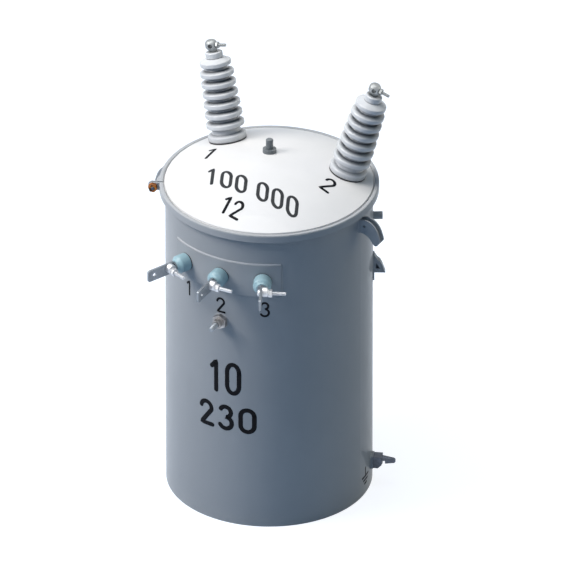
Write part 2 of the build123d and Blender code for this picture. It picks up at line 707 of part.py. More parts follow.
def wall_nodes():
    nodes = {}
    for name, angle in zip(("left", "right"), LUG_ANGLES):
        nodes[f"lifting_lug_{name}"] = on_wall(angle, LUG_HOLE_HEIGHT) * lifting_lug()
    nodes["side_plug"] = out_of_wall(PLUG_ANGLE, PLUG_HEIGHT) * side_plug()
    nodes["arrester_bracket"] = on_wall(BRACKET_ANGLE, BRACKET_ARM_HEIGHT) * arrester_bracket()
    nodes["hanger_lower"] = on_wall(HANGER_ANGLE, HANGER_LOWER) * hanger()
    nodes["hanger_upper"] = on_wall(HANGER_ANGLE, HANGER_LOWER + HANGER_SPACING) * hanger()
    return nodes


os.makedirs("parts", exist_ok=True)
for group in (tank_nodes(), valve_nodes(), hv_nodes(), lv_nodes(), earth_nodes(), wall_nodes()):
    for node, shape in group.items():
        export_step(shape, f"parts/{node}.step")
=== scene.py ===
import bpy
import json
import random
from math import asin, atan2, ceil, cos, hypot, pi, radians, sin, sqrt
from mathutils import Matrix, Vector

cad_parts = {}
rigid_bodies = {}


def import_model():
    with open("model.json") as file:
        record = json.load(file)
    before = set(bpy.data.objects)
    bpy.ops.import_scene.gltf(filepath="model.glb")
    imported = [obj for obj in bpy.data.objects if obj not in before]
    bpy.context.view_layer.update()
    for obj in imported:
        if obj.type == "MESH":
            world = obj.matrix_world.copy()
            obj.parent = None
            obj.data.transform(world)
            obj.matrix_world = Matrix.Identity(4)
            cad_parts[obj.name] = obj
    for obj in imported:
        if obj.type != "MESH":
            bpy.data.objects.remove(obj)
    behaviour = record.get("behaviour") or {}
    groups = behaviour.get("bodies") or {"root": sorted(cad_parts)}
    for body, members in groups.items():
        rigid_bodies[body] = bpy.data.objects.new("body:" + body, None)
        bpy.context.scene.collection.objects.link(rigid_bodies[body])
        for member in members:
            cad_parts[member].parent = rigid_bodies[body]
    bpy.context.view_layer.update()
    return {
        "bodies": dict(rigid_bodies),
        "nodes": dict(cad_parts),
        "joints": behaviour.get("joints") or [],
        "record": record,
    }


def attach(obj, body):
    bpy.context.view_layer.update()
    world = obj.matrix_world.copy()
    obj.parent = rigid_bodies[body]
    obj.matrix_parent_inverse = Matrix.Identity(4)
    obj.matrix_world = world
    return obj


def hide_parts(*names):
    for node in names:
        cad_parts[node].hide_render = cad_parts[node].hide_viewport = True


# Sizes shared with the CAD model, in metres and degrees
TANK_RADIUS = 0.190
DOME_RADIUS = 0.495
DOME_EDGE = 0.1905
DOME_EDGE_HEIGHT = 0.6253
DOME_CENTRE = DOME_EDGE_HEIGHT - sqrt(DOME_RADIUS**2 - DOME_EDGE**2)
BAND_RADIUS = 0.201
BAND_MIDDLE = 0.61725
BAND_JOINT_ANGLE = -60.2
BAND_GAP = 0.003
EAR_THICKNESS = 0.003
BAND_BOLT_PLACE = 0.012
HV_ANGLE = 119.4
HV_OFFSET = 0.1429
HV_SCREW_HEIGHT = 0.1802
HV_SCREW_SEAT = 0.008
HV_SCREW_REACH = 0.028
LV_MIDDLE_ANGLE = 1.0
LV_SPACING_ANGLE = 24.0
LV_HEIGHT = 0.524
LV_CLAMP_OUT = 0.044
LV_PAD_THICKNESS = 0.004
LV_SADDLE_HEIGHT = 0.0105
LV_BOLT_REACH = 0.045
PANEL_ANGLE = 34.0
PANEL_BOTTOM = 0.491
PANEL_TOP = 0.557
FRONT_EARTH_HEIGHT = 0.428
FRONT_BOSS_OUT = 0.009
FRONT_BOLT_OUT = 0.040
SIDE_GROUND_ANGLE = 110.0
SIDE_GROUND_HEIGHT = 0.048
SIDE_PAD_WIDTH = 0.022
SIDE_PAD_UP = 0.010
SIDE_PAD_DOWN = 0.015
LUG_ANGLES = (-90.0, 90.0)
LUG_BOTTOM = 0.572
LUG_TOP = 0.597
LUG_WIDTH = 0.0155
PLUG_ANGLE = 120.0
PLUG_HEIGHT = 0.548
PLUG_DIAMETER = 0.0145
BRACKET_ANGLE = 118.0
BRACKET_BOTTOM = 0.417
BRACKET_TOP = 0.473
BRACKET_WIDTH = 0.018
HANGER_ANGLE = 180.0
HANGER_HEIGHTS = (0.180, 0.466)
HANGER_SIDE = 0.036
HANGER_HALF = 0.039
SEAM_ANGLE = 152.0
RIM_UNDERSIDE = 0.610

# Fasteners, in metres and degrees
BAND_THREAD = 0.008
BAND_PITCH = 0.00125
BAND_BOLT_TAIL = 0.0088
BAND_HEAD_WIDTH = 0.0125
BAND_HEAD_HEIGHT = 0.0055
BAND_NUT_WIDTH = 0.0145
BAND_NUT_END = 0.0080
BAND_NUT_TURN = 15.0
BAND_WASHER_WIDTH = 0.0170
BAND_WASHER_HEIGHT = 0.0018
LV_THREAD = 0.0073
LV_PITCH = 0.00125
LV_HEAD_WIDTH = 0.013
LV_HEAD_HEIGHT = 0.006
LV_NUT_WIDTH = 0.013
LV_NUT_HEIGHT = 0.006
LV_WASHER_WIDTH = 0.0148
LV_WASHER_HEIGHT = 0.0014
HV_THREAD = 0.006
HV_PITCH = 0.001
HV_SCREW_ROOT = 0.004
HV_NUT_WIDTH = 0.011
HV_NUT_HEIGHT = 0.005
EARTH_THREAD = 0.010
EARTH_PITCH = 0.0015
EARTH_SEAT = 0.006
EARTH_NUT_WIDTH = 0.016
EARTH_NUT_HEIGHT = 0.008
EARTH_WASHER_WIDTH = 0.020
EARTH_WASHER_HEIGHT = 0.0018
EARTH_SPRING_HEIGHT = 0.0012

# Inner radius of each washer and nut, just inside the thread
BAND_HOLE = 0.0038
LV_HOLE = 0.0035
HV_HOLE = 0.0028
EARTH_HOLE = 0.0049

# Fineness of the round pieces, and the angle from which an edge is shown sharp
ROUND_SIDES = 32
THREAD_SIDES = 24
THREAD_STEPS = 6
NUT_SIDES = 72
WASHER_SIDES = 40
SHARP_ANGLE = 32.0

# Weld beads; rise, sink and waves are shares of the half width
BEAD_STEPS = 8
BEAD_RISE = 0.72
BEAD_SINK = 0.25
BEAD_WAVE = 0.10
BEAD_WAVE_TURN = 2.1
BEAD_CHANCE = 0.06
WELD_STEP = 0.0011
WELD_ROOM = 0.001
LUG_BEAD = 0.0048
BRACKET_BEAD = 0.0036
BRACKET_ROUNDING = 0.006
PAD_BEAD = 0.0040
PLUG_BEAD = 0.0034
BOSS_RADIUS = 0.0135
BOSS_BEAD = 0.0036
HANGER_BEAD = 0.0044
HANGER_BEAD_SHIFT = 0.0035
PANEL_BEAD = 0.0056
PANEL_TOP_BEAD = 0.0050
PANEL_STEP = 0.002
SEAM_BEAD = 0.0050
SEAM_STEP = 0.0016
SEAM_START = 0.003
SEAM_END_GAP = 0.002

# Painted marks: name, text, height, stroke width, angle, level, then pitch and breadth as
# shares of the height
WALL_MARKS = (
    ("mark_upper", "10", 0.061, 0.0088, 2.6, 0.308, 0.60, 0.68),
    ("mark_lower", "230", 0.046, 0.0088, 3.9, 0.223, 0.90, 1.0),
    ("mark_lv_1", "1", 0.028, 0.0042, -21.9, 0.469, 0.75, 1.0),
    ("mark_lv_2", "2", 0.028, 0.0042, 0.8, 0.460, 0.75, 1.0),
    ("mark_lv_3", "3", 0.028, 0.0042, 26.2, 0.463, 0.75, 1.0),
)
# The same on the cover, with place x and y, heading, pitch, breadth, slant and paint
COVER_MARKS = (
    ("mark_cover", "100 000", 0.040, 0.0064, (0.0097, -0.0840, -5), 0.81, 0.86, -0.56,
     "grey_lettering"),
    ("mark_cover_small", "12", 0.036, 0.0056, (0.0, -0.1430, -11), 0.70, 0.9, -0.3, "black_paint"),
    ("mark_hv_left", "1", 0.036, 0.0058, (-0.123, -0.001, -11), 0.75, 1.0, -0.2, "black_paint"),
    ("mark_hv_right", "2", 0.036, 0.0056, (0.1215, 0.0017, -11), 0.75, 1.0, -0.2, "black_paint"),
)
FIGURE_WIDTH = 0.56
SPACE_SHARE = 0.45
STROKE_STEP = 0.003
STROKE_CAP_STEPS = 6
STROKE_TIP = 0.00001
WALL_MARK_LIFT = 0.00012
COVER_MARK_LIFT = 0.00015
EARTH_MARK_ANGLE = 97.0
EARTH_MARK_HEIGHT = 0.037
EARTH_MARK_STEM = 0.017
EARTH_MARK_BARS = (0.014, 0.009, 0.0042)
EARTH_MARK_DROP = 0.0075
EARTH_MARK_STROKE = 0.0046
EARTH_MARK_STEP = 0.002

# Camera, as the photograph was taken
VIEW_AZIMUTH = 28.5
VIEW_ELEVATION = 30.7
VIEW_AIM = Vector((0.0213, 0.0116, 0.4078))
VIEW_DISTANCE = 40.0
VIEW_WIDTH = 1.0347
SENSOR_WIDTH = 36.0

# Light
# Each lamp: name, bearing from the viewer to the right, rise, distance, width, power and colour
LAMPS = (
    ("overhead", -110, 82, 3.0, 1.9, 58.0, (1.0, 0.98, 0.94)),
    ("left", -80, 40, 3.2, 1.8, 80.0, (1.0, 0.97, 0.93)),
    ("right", 100, 12, 3.2, 2.0, 12.0, (1.0, 0.95, 0.74)),
)
LAMP_AIM = Vector((0, 0, 0.45))
WORLD_TINT_FROM = -0.2
WORLD_TINT_TO = 0.9
WORLD_LEFT = (0.10, 0.21, 0.38, 1.0)
WORLD_RIGHT = (0.13, 0.15, 0.15, 1.0)
FLOOR_COLOUR = (0.29, 0.36, 0.45, 1.0)
FLOOR_GLOW = 0.86
FLOOR_HALF = 30.0


# Places on the tank

def out_of_wall(angle, height):
    """Frame on the wall: Z points out, X down and Y sideways."""
    turn = Matrix.Rotation(radians(angle - 90), 4, "Z")
    upright = turn @ Matrix.Translation((TANK_RADIUS, 0, height))
    return upright @ Matrix.Rotation(radians(90), 4, "Y")


def lv_angles():
    return [LV_MIDDLE_ANGLE + step * LV_SPACING_ANGLE for step in (-1, 0, 1)]


def on_dome(angle, offset):
    """Frame on the cover: Z square to the dome and X away from its middle."""
    lean = asin(offset / DOME_RADIUS)
    turn = Matrix.Rotation(radians(angle - 90), 4, "Z") @ Matrix.Rotation(lean, 4, "Y")
    return Matrix.Translation((0, 0, DOME_CENTRE)) @ turn @ Matrix.Translation((0, 0, DOME_RADIUS))


# Mesh building

def make_piece(name, points, faces, looks, slot, nodes=(), finish=None):
    """Adds a mesh piece of the object; finish names a special look for a slot of the record."""
    mesh = bpy.data.meshes.new(name)
    mesh.from_pydata([tuple(point) for point in points], [], faces)
    mesh.materials.append(looks[finish or slot])
    mesh.shade_smooth()
    mesh.set_sharp_from_angle(angle=radians(SHARP_ANGLE))
    piece = bpy.data.objects.new(name, mesh)
    bpy.context.scene.collection.objects.link(piece)
    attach(piece, "root")
    if nodes:
        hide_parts(*nodes)


class Shape:
    """Points and faces gathered from several turned or swept forms."""

    def __init__(self):
        self.points = []
        self.faces = []

    def grid(self, rows, closed_round=True):
        """Skin over rows of points, each row a ring when closed_round is set."""
        start = len(self.points)
        width = len(rows[0])
        for row in rows:
            self.points += row
        steps = width if closed_round else width - 1
        for i in range(len(rows) - 1):
            for j in range(steps):
                a = start + i * width + j
                b = start + i * width + (j + 1) % width
                self.faces.append((a, b, b + width, a + width))
        return start, width

    def tube(self, rows):
        """Skin over rings with a flat cap at each end."""
        start, width = self.grid(rows)
        last = start + (len(rows) - 1) * width
        self.faces.append(tuple(range(start + width - 1, start - 1, -1)))
        self.faces.append(tuple(range(last, last + width)))

    def points_in(self, frame):
        return [frame @ Vector(point) for point in self.points]


def ring(radius, height, count=ROUND_SIDES):
    """Ring of points round Z; radius may be a function of the angle."""
    angles = [2 * pi * i / count for i in range(count)]
    radii = [radius(angle) if callable(radius) else radius for angle in angles]
    return [(r * cos(a), r * sin(a), height) for r, a in zip(radii, angles)]


def turned(shape, profile):
    shape.tube([ring(radius, height) for radius, height in profile])


def threaded(shape, diameter, pitch, start, end):
    """Threaded rod from start to end with a chamfered tip at the end."""
    steps = ceil((end - start) / pitch * THREAD_STEPS)
    depth = 0.6 * pitch
    chamfer = 0.15 * diameter
    rows = []
    for i in range(steps + 1):
        height = start + (end - start) * i / steps
        limit = diameter / 2 - max(0.0, chamfer - (end - height))

        def radius(angle, height=height, limit=limit):
            turn = (height / pitch - angle / (2 * pi)) % 1.0
            return min(limit, diameter / 2 - depth * abs(2 * turn - 1))

        rows.append(ring(radius, height, THREAD_SIDES))
    shape.tube(rows)


def hex_radius(across_flats, angle):
    sector = (angle + pi / 6) % (pi / 3) - pi / 6
    return across_flats / 2 / cos(sector)


def nut(shape, across_flats, start, end, inner):
    """Hexagon nut with turned-down corners at both ends."""
    corner = across_flats / 2 / cos(pi / 6)
    face = 0.9 * across_flats / 2
    recess = 0.0003
    drop = 0.5 * (corner - across_flats / 2)
    rows = []
    for inset, height in ((3 * drop, 0), (drop, 0.5 * drop), (0, 1.6 * drop)):
        limit = corner - inset

        def radius(angle, limit=limit):
            return min(limit, hex_radius(across_flats, angle))

        rows.append((radius, height))
    heights = [(radius, start + height) for radius, height in rows]
    heights += [(radius, end - height) for radius, height in reversed(rows)]
    profile = [(inner, start)] + heights + [(face, end), (inner, end - recess)]
    shape.grid([ring(radius, height, NUT_SIDES) for radius, height in profile])


def washer(shape, diameter, start, end, inner):
    edge = diameter / 2
    soft = 0.2 * (end - start)
    profile = [(inner, start), (edge - soft, start), (edge, start + soft)]
    profile += [(edge, end - soft), (edge - soft, end), (inner, end)]
    shape.grid([ring(radius, height, WASHER_SIDES) for radius, height in profile])


def dome_head(shape, diameter, start, height):
    """Round head that rises from start in the direction of height's sign."""
    upright = 0.35
    tip = 0.0001
    steps = 6
    profile = [(diameter / 2, start), (diameter / 2, start + upright * height)]
    for i in range(1, steps + 1):
        angle = pi / 2 * i / steps
        rise = upright + (1 - upright) * sin(angle)
        profile.append((diameter / 2 * cos(angle) + tip, start + height * rise))
    if height < 0:
        profile.reverse()
    turned(shape, profile)


# Fasteners

def band_bolt(looks):
    """Bolt of the clamp band, with a rusty yellow flanged nut on the low-voltage side."""
    half = BAND_GAP / 2 + EAR_THICKNESS
    turn = Matrix.Rotation(radians(BAND_JOINT_ANGLE - 90), 4, "Z")
    frame = turn @ Matrix.Translation((BAND_RADIUS + BAND_BOLT_PLACE, 0, BAND_MIDDLE))
    frame = frame @ Matrix.Rotation(radians(-90), 4, "X")
    frame = frame @ Matrix.Rotation(radians(BAND_NUT_TURN), 4, "Z")
    bolt = Shape()
    dome_head(bolt, BAND_HEAD_WIDTH, -half, -BAND_HEAD_HEIGHT)
    threaded(bolt, BAND_THREAD, BAND_PITCH, -half, half + BAND_BOLT_TAIL)
    make_piece("band_bolt_shank", bolt.points_in(frame), bolt.faces, looks, "plated_bolt",
               ["band_bolt"], "dark_bronze")
    fixing = Shape()
    seat = half + BAND_WASHER_HEIGHT
    washer(fixing, BAND_WASHER_WIDTH, half, seat, BAND_HOLE)
    nut(fixing, BAND_NUT_WIDTH, seat, half + BAND_NUT_END, BAND_HOLE)
    make_piece("band_bolt_nut", fixing.points_in(frame), fixing.faces, looks, "plated_bolt",
               finish="rusty_yellow")


def lv_bolts(looks):
    """Clamping bolt of each low-voltage terminal: round head, washer, nut and long thread."""
    head = -LV_PAD_THICKNESS / 2
    seat = LV_PAD_THICKNESS / 2 + LV_SADDLE_HEIGHT
    top = seat + LV_WASHER_HEIGHT
    for number, angle in enumerate(lv_angles(), 1):
        frame = out_of_wall(angle, LV_HEIGHT) @ Matrix.Translation((0, 0, LV_CLAMP_OUT))
        frame = frame @ Matrix.Rotation(radians(-90), 4, "X")
        bolt = Shape()
        dome_head(bolt, LV_HEAD_WIDTH, head, -LV_HEAD_HEIGHT)
        threaded(bolt, LV_THREAD, LV_PITCH, head, LV_BOLT_REACH)
        washer(bolt, LV_WASHER_WIDTH, seat, top, LV_HOLE)
        nut(bolt, LV_NUT_WIDTH, top, top + LV_NUT_HEIGHT, LV_HOLE)
        make_piece(f"lv_bolt_{number}_threaded", bolt.points_in(frame), bolt.faces,
                   looks, "plated_bolt", [f"lv_bolt_{number}"])


def hv_screws(looks):
    for name, angle in (("left", -HV_ANGLE), ("right", HV_ANGLE)):
        frame = on_dome(angle, HV_OFFSET) @ Matrix.Rotation(radians(90 - angle), 4, "Z")
        frame = frame @ Matrix.Translation((0, 0, HV_SCREW_HEIGHT))
        frame = frame @ Matrix.Rotation(radians(90), 4, "Y")
        screw = Shape()
        threaded(screw, HV_THREAD, HV_PITCH, HV_SCREW_ROOT, HV_SCREW_REACH)
        nut(screw, HV_NUT_WIDTH, HV_SCREW_SEAT, HV_SCREW_SEAT + HV_NUT_HEIGHT, HV_HOLE)
        make_piece(f"hv_screw_{name}_threaded", screw.points_in(frame), screw.faces,
                   looks, "plated_bolt", [f"hv_screw_{name}"], "cast_metal")


def front_earth_bolt(looks):
    """Stud in the front boss, with a flat washer, a spring washer and a nut."""
    frame = out_of_wall(LV_MIDDLE_ANGLE, FRONT_EARTH_HEIGHT)
    bolt = Shape()
    threaded(bolt, EARTH_THREAD, EARTH_PITCH, FRONT_BOSS_OUT - EARTH_SEAT, FRONT_BOLT_OUT)
    make_piece("front_earth_bolt_thread", bolt.points_in(frame), bolt.faces,
               looks, "plated_bolt", ["front_earth_bolt"], "tinned_metal")
    fixing = Shape()
    flat_end = FRONT_BOSS_OUT + EARTH_WASHER_HEIGHT
    spring_end = flat_end + EARTH_SPRING_HEIGHT
    washer(fixing, EARTH_WASHER_WIDTH, FRONT_BOSS_OUT, flat_end, EARTH_HOLE)
    washer(fixing, EARTH_NUT_WIDTH, flat_end, spring_end, EARTH_HOLE)
    nut(fixing, EARTH_NUT_WIDTH, spring_end, spring_end + EARTH_NUT_HEIGHT, EARTH_HOLE)
    make_piece("front_earth_nut", fixing.points_in(frame), fixing.faces, looks, "earth_bronze")


def all_fasteners(looks):
    band_bolt(looks)
    lv_bolts(looks)
    hv_screws(looks)
    front_earth_bolt(looks)


# Welds

def weld(name, path, width, looks, seed, closed=False, rippled=1.0, finish=None):
    """Rippled bead along points on a surface; each point comes with the surface normal."""
    chance = random.Random(seed)
    bead = Shape()
    rows = []
    count = len(path)
    for i, (point, normal) in enumerate(path):
        before = path[(i - 1) % count][0] if closed or i > 0 else point
        after = path[(i + 1) % count][0] if closed or i < count - 1 else point
        along = (after - before).normalized()
        side = along.cross(normal).normalized()
        wave = BEAD_WAVE * cos(BEAD_WAVE_TURN * i) + chance.uniform(-BEAD_CHANCE, BEAD_CHANCE)
        ripple = 1 + rippled * wave
        half = width / 2 * ripple
        row = []
        for step in range(BEAD_STEPS + 1):
            angle = pi * step / BEAD_STEPS
            rise = half * (BEAD_RISE * sin(angle) - BEAD_SINK)
            row.append(point + side * (cos(angle) * half) + normal * rise)
        rows.append(row)
    if closed:
        rows.append(rows[0])
    bead.grid(rows, closed_round=False)
    make_piece(name, bead.points, bead.faces, looks, "grey_paint", finish=finish)


def wall_path(corners, angle, height, spacing=WELD_STEP, closed=True):
    """Path on the wall through sideways and up corners, with a normal at each point."""
    ends = corners[1:] + corners[:1] if closed else corners[1:]
    path = []
    for (x0, z0), (x1, z1) in zip(corners, ends):
        steps = max(1, round(hypot(x1 - x0, z1 - z0) / spacing))
        for i in range(steps):
            x = x0 + (x1 - x0) * i / steps
            z = z0 + (z1 - z0) * i / steps
            path.append(wall_point(x, z, angle, height))
    if not closed:
        path.append(wall_point(*corners[-1], angle, height))
    return path


def wall_point(sideways, up, angle, height, out=0.0):
    """Point and normal on the wall, measured along the curve of the wall."""
    turn = radians(angle - 90) + sideways / TANK_RADIUS
    normal = Vector((cos(turn), sin(turn), 0))
    return normal * (TANK_RADIUS + out) + Vector((0, 0, height + up)), normal


def box_corners(width, bottom, top, rounding=0.002):
    """Corners of an upright box with its corners cut, anticlockwise."""
    half = width / 2
    return [
        (-half + rounding, bottom), (half - rounding, bottom), (half, bottom + rounding),
        (half, top - rounding), (half - rounding, top), (-half + rounding, top),
        (-half, top - rounding), (-half, bottom + rounding),
    ]


def box_welds(looks):
    for name, angle in zip(("left", "right"), LUG_ANGLES):
        corners = box_corners(LUG_WIDTH + WELD_ROOM, LUG_BOTTOM, LUG_TOP)
        weld(f"weld_lug_{name}", wall_path(corners, angle, 0), LUG_BEAD, looks, 3, True)
    corners = box_corners(BRACKET_WIDTH + WELD_ROOM, BRACKET_BOTTOM, BRACKET_TOP, BRACKET_ROUNDING)
    weld("weld_bracket", wall_path(corners, BRACKET_ANGLE, 0), BRACKET_BEAD, looks, 5, True)
    corners = box_corners(SIDE_PAD_WIDTH + WELD_ROOM, -SIDE_PAD_DOWN, SIDE_PAD_UP)
    path = wall_path(corners, SIDE_GROUND_ANGLE, SIDE_GROUND_HEIGHT)
    weld("weld_ground_pad", path, PAD_BEAD, looks, 7, True)


def round_welds(looks):
    circles = (
        ("weld_plug", PLUG_DIAMETER / 2, PLUG_ANGLE, PLUG_HEIGHT, PLUG_BEAD),
        ("weld_earth_boss", BOSS_RADIUS, LV_MIDDLE_ANGLE, FRONT_EARTH_HEIGHT, BOSS_BEAD),
    )
    for name, radius, angle, height, width in circles:
        count = round(2 * pi * radius / WELD_STEP)
        turns = [2 * pi * i / count for i in range(count)]
        path = [wall_point(radius * cos(a), radius * sin(a), angle, height) for a in turns]
        weld(name, path, width, looks, 9, True)


def hanger_welds(looks):
    """A bead on both faces of each leg of the two pole hangers."""
    for level, height in zip(("lower", "upper"), HANGER_HEIGHTS):
        for name, side in (("left", -1), ("right", 1)):
            for row, shift in (("in", -HANGER_BEAD_SHIFT), ("out", HANGER_BEAD_SHIFT)):
                sideways = side * HANGER_SIDE + shift
                corners = [(sideways, -HANGER_HALF), (sideways, HANGER_HALF)]
                path = wall_path(corners, HANGER_ANGLE, height, closed=False)
                weld(f"weld_hanger_{level}_{name}_{row}", path, HANGER_BEAD, looks, 11)


def panel_beads(looks):
    """Smooth bead round the low-voltage panel, with a painted highlight: a paler paint along its
    top.
    """
    half = radians(PANEL_ANGLE) * TANK_RADIUS
    around = [(-half, PANEL_TOP), (-half, PANEL_BOTTOM), (half, PANEL_BOTTOM), (half, PANEL_TOP)]
    path = wall_path(around, LV_MIDDLE_ANGLE, 0, PANEL_STEP, False)
    weld("weld_panel", path, PANEL_BEAD, looks, 15, rippled=0.0)
    path = wall_path([around[3], around[0]], LV_MIDDLE_ANGLE, 0, PANEL_STEP, False)
    # Painted highlight: the top bead gets a paler grey than the rest of the wall
    weld("weld_panel_top", path, PANEL_TOP_BEAD, looks, 15, rippled=0.0, finish="edge_paint")


def all_welds(looks):
    box_welds(looks)
    round_welds(looks)
    hanger_welds(looks)
    panel_beads(looks)
    ends = [(0, SEAM_START), (0, RIM_UNDERSIDE - SEAM_END_GAP)]
    weld("weld_tank_seam", wall_path(ends, SEAM_ANGLE, 0, SEAM_STEP, False), SEAM_BEAD, looks, 13)


# Painted numbers, each figure drawn with a stroke in a box FIGURE_WIDTH wide and 1 high

def bow(x, y, wide, high, first, last, steps):
    """Points of an elliptic arc round (x, y) from the first angle to the last."""
    angles = [first + (last - first) * i / steps for i in range(steps + 1)]
    return [(x + wide * cos(a), y + high * sin(a)) for a in angles]


def figure_paths(figure):
    if figure == "0":
        upper = bow(0.28, 0.72, 0.28, 0.28, 0, pi, 12)
        lower = bow(0.28, 0.28, 0.28, 0.28, pi, 2 * pi, 12)
        return [upper + lower + upper[:1]]
    if figure == "1":
        return [[(0.12, 0.80), (0.34, 1.0), (0.34, 0.0)]]
    if figure == "2":
        hook = bow(0.27, 0.74, 0.25, 0.26, pi - 0.1, -pi / 14 - 0.1, 15)
        return [hook + [(0.04, 0.0), (0.56, 0.0)]]
    upper = bow(0.26, 0.765, 0.23, 0.235, 2.7, -1.5, 14)
    return [upper + bow(0.26, 0.27, 0.27, 0.27, 1.35, -2.65, 14)]


def fine_steps(path, spacing):
    fine = []
    for (x0, y0), (x1, y1) in zip(path, path[1:]):
        steps = max(1, ceil(hypot(x1 - x0, y1 - y0) / spacing))
        fine += [(x0 + (x1 - x0) * i / steps, y0 + (y1 - y0) * i / steps) for i in range(steps)]
    return fine + [path[-1]]


def stroke(shape, path, width, place):
    """Flat ribbon with round ends along a path, laid on a surface by place(x, y)."""
    half = width / 2
    headings = []
    for i in range(len(path)):
        x0, y0 = path[max(0, i - 1)]
        x1, y1 = path[min(len(path) - 1, i + 1)]
        headings.append(atan2(y1 - y0, x1 - x0))

    def row(x, y, heading, spread):
        dx = -sin(heading) * spread
        dy = cos(heading) * spread
        return [place(x + dx * share, y + dy * share) for share in (-1, -0.5, 0, 0.5, 1)]

    def cap(end, way):
        """Rows of the round end at path[end], from the ribbon outwards."""
        x, y = path[end]
        heading = headings[end]
        rows = []
        for step in range(1, STROKE_CAP_STEPS + 1):
            angle = pi / 2 * step / STROKE_CAP_STEPS
            reach = way * half * sin(angle)
            spread = half * cos(angle) + STROKE_TIP
            rows.append(row(x + reach * cos(heading), y + reach * sin(heading), heading, spread))
        return rows

    rows = list(reversed(cap(0, -1)))
    rows += [row(x, y, heading, half) for (x, y), heading in zip(path, headings)]
    shape.grid(rows + cap(-1, 1), closed_round=False)


def number(name, text, height, width, place, looks, pitch, breadth, slant=0.0, paint="black_paint"):
    """Painted number centred on place's origin; pitch and breadth are shares of its height."""
    shape = Shape()
    pitches = len(text) - 1 - text.count(" ") * (1 - SPACE_SHARE)
    start = -pitch * height * pitches / 2 - FIGURE_WIDTH / 2 * breadth * height
    left = start - pitch * height
    for figure in text:
        left += pitch * height * (SPACE_SHARE if figure == " " else 1.0)
        if figure == " ":
            continue
        for path in figure_paths(figure):
            sized = [(left + x * breadth * height, (y - 0.5) * height) for x, y in path]
            leaned = [(x + slant * y, y) for x, y in sized]
            stroke(shape, fine_steps(leaned, STROKE_STEP), width, place)
    make_piece(name, shape.points, shape.faces, looks, "dark_plastic", finish=paint)


def wall_place(angle, height):
    return lambda x, y: wall_point(x, y, angle, height, WALL_MARK_LIFT)[0]


def dome_place(x0, y0, heading):
    """Place on the dome round a point seen from above, with its reading direction."""
    ahead = Vector((cos(radians(heading)), sin(radians(heading)), 0))
    up = Vector((-ahead.y, ahead.x, 0))
    lift = DOME_RADIUS + COVER_MARK_LIFT

    def place(x, y):
        flat = Vector((x0, y0, 0)) + ahead * x + up * y
        return Vector((flat.x, flat.y, DOME_CENTRE + sqrt(lift**2 - flat.length_squared)))

    return place


def all_marks(looks):
    for name, text, height, width, angle, level, pitch, breadth in WALL_MARKS:
        number(name, text, height, width, wall_place(angle, level), looks, pitch, breadth)
    for name, text, height, width, place, pitch, breadth, slant, paint in COVER_MARKS:
        number(name, text, height, width, dome_place(*place), looks, pitch, breadth, slant, paint)
    earth_symbol(looks)


def earth_symbol(looks):
    """Painted earth sign under the ground connector: a stem over three bars."""
    shape = Shape()
    lines = [[(0, EARTH_MARK_STEM), (0, 0)]]
    for level, half in enumerate(EARTH_MARK_BARS):
        height = -EARTH_MARK_DROP * level
        lines.append([(-half, height), (half, height)])
    place = wall_place(EARTH_MARK_ANGLE, EARTH_MARK_HEIGHT)
    for line in lines:
        stroke(shape, fine_steps(line, EARTH_MARK_STEP), EARTH_MARK_STROKE, place)
    make_piece("mark_earth", shape.points, shape.faces, looks, "dark_plastic", finish="black_paint")


# Materials

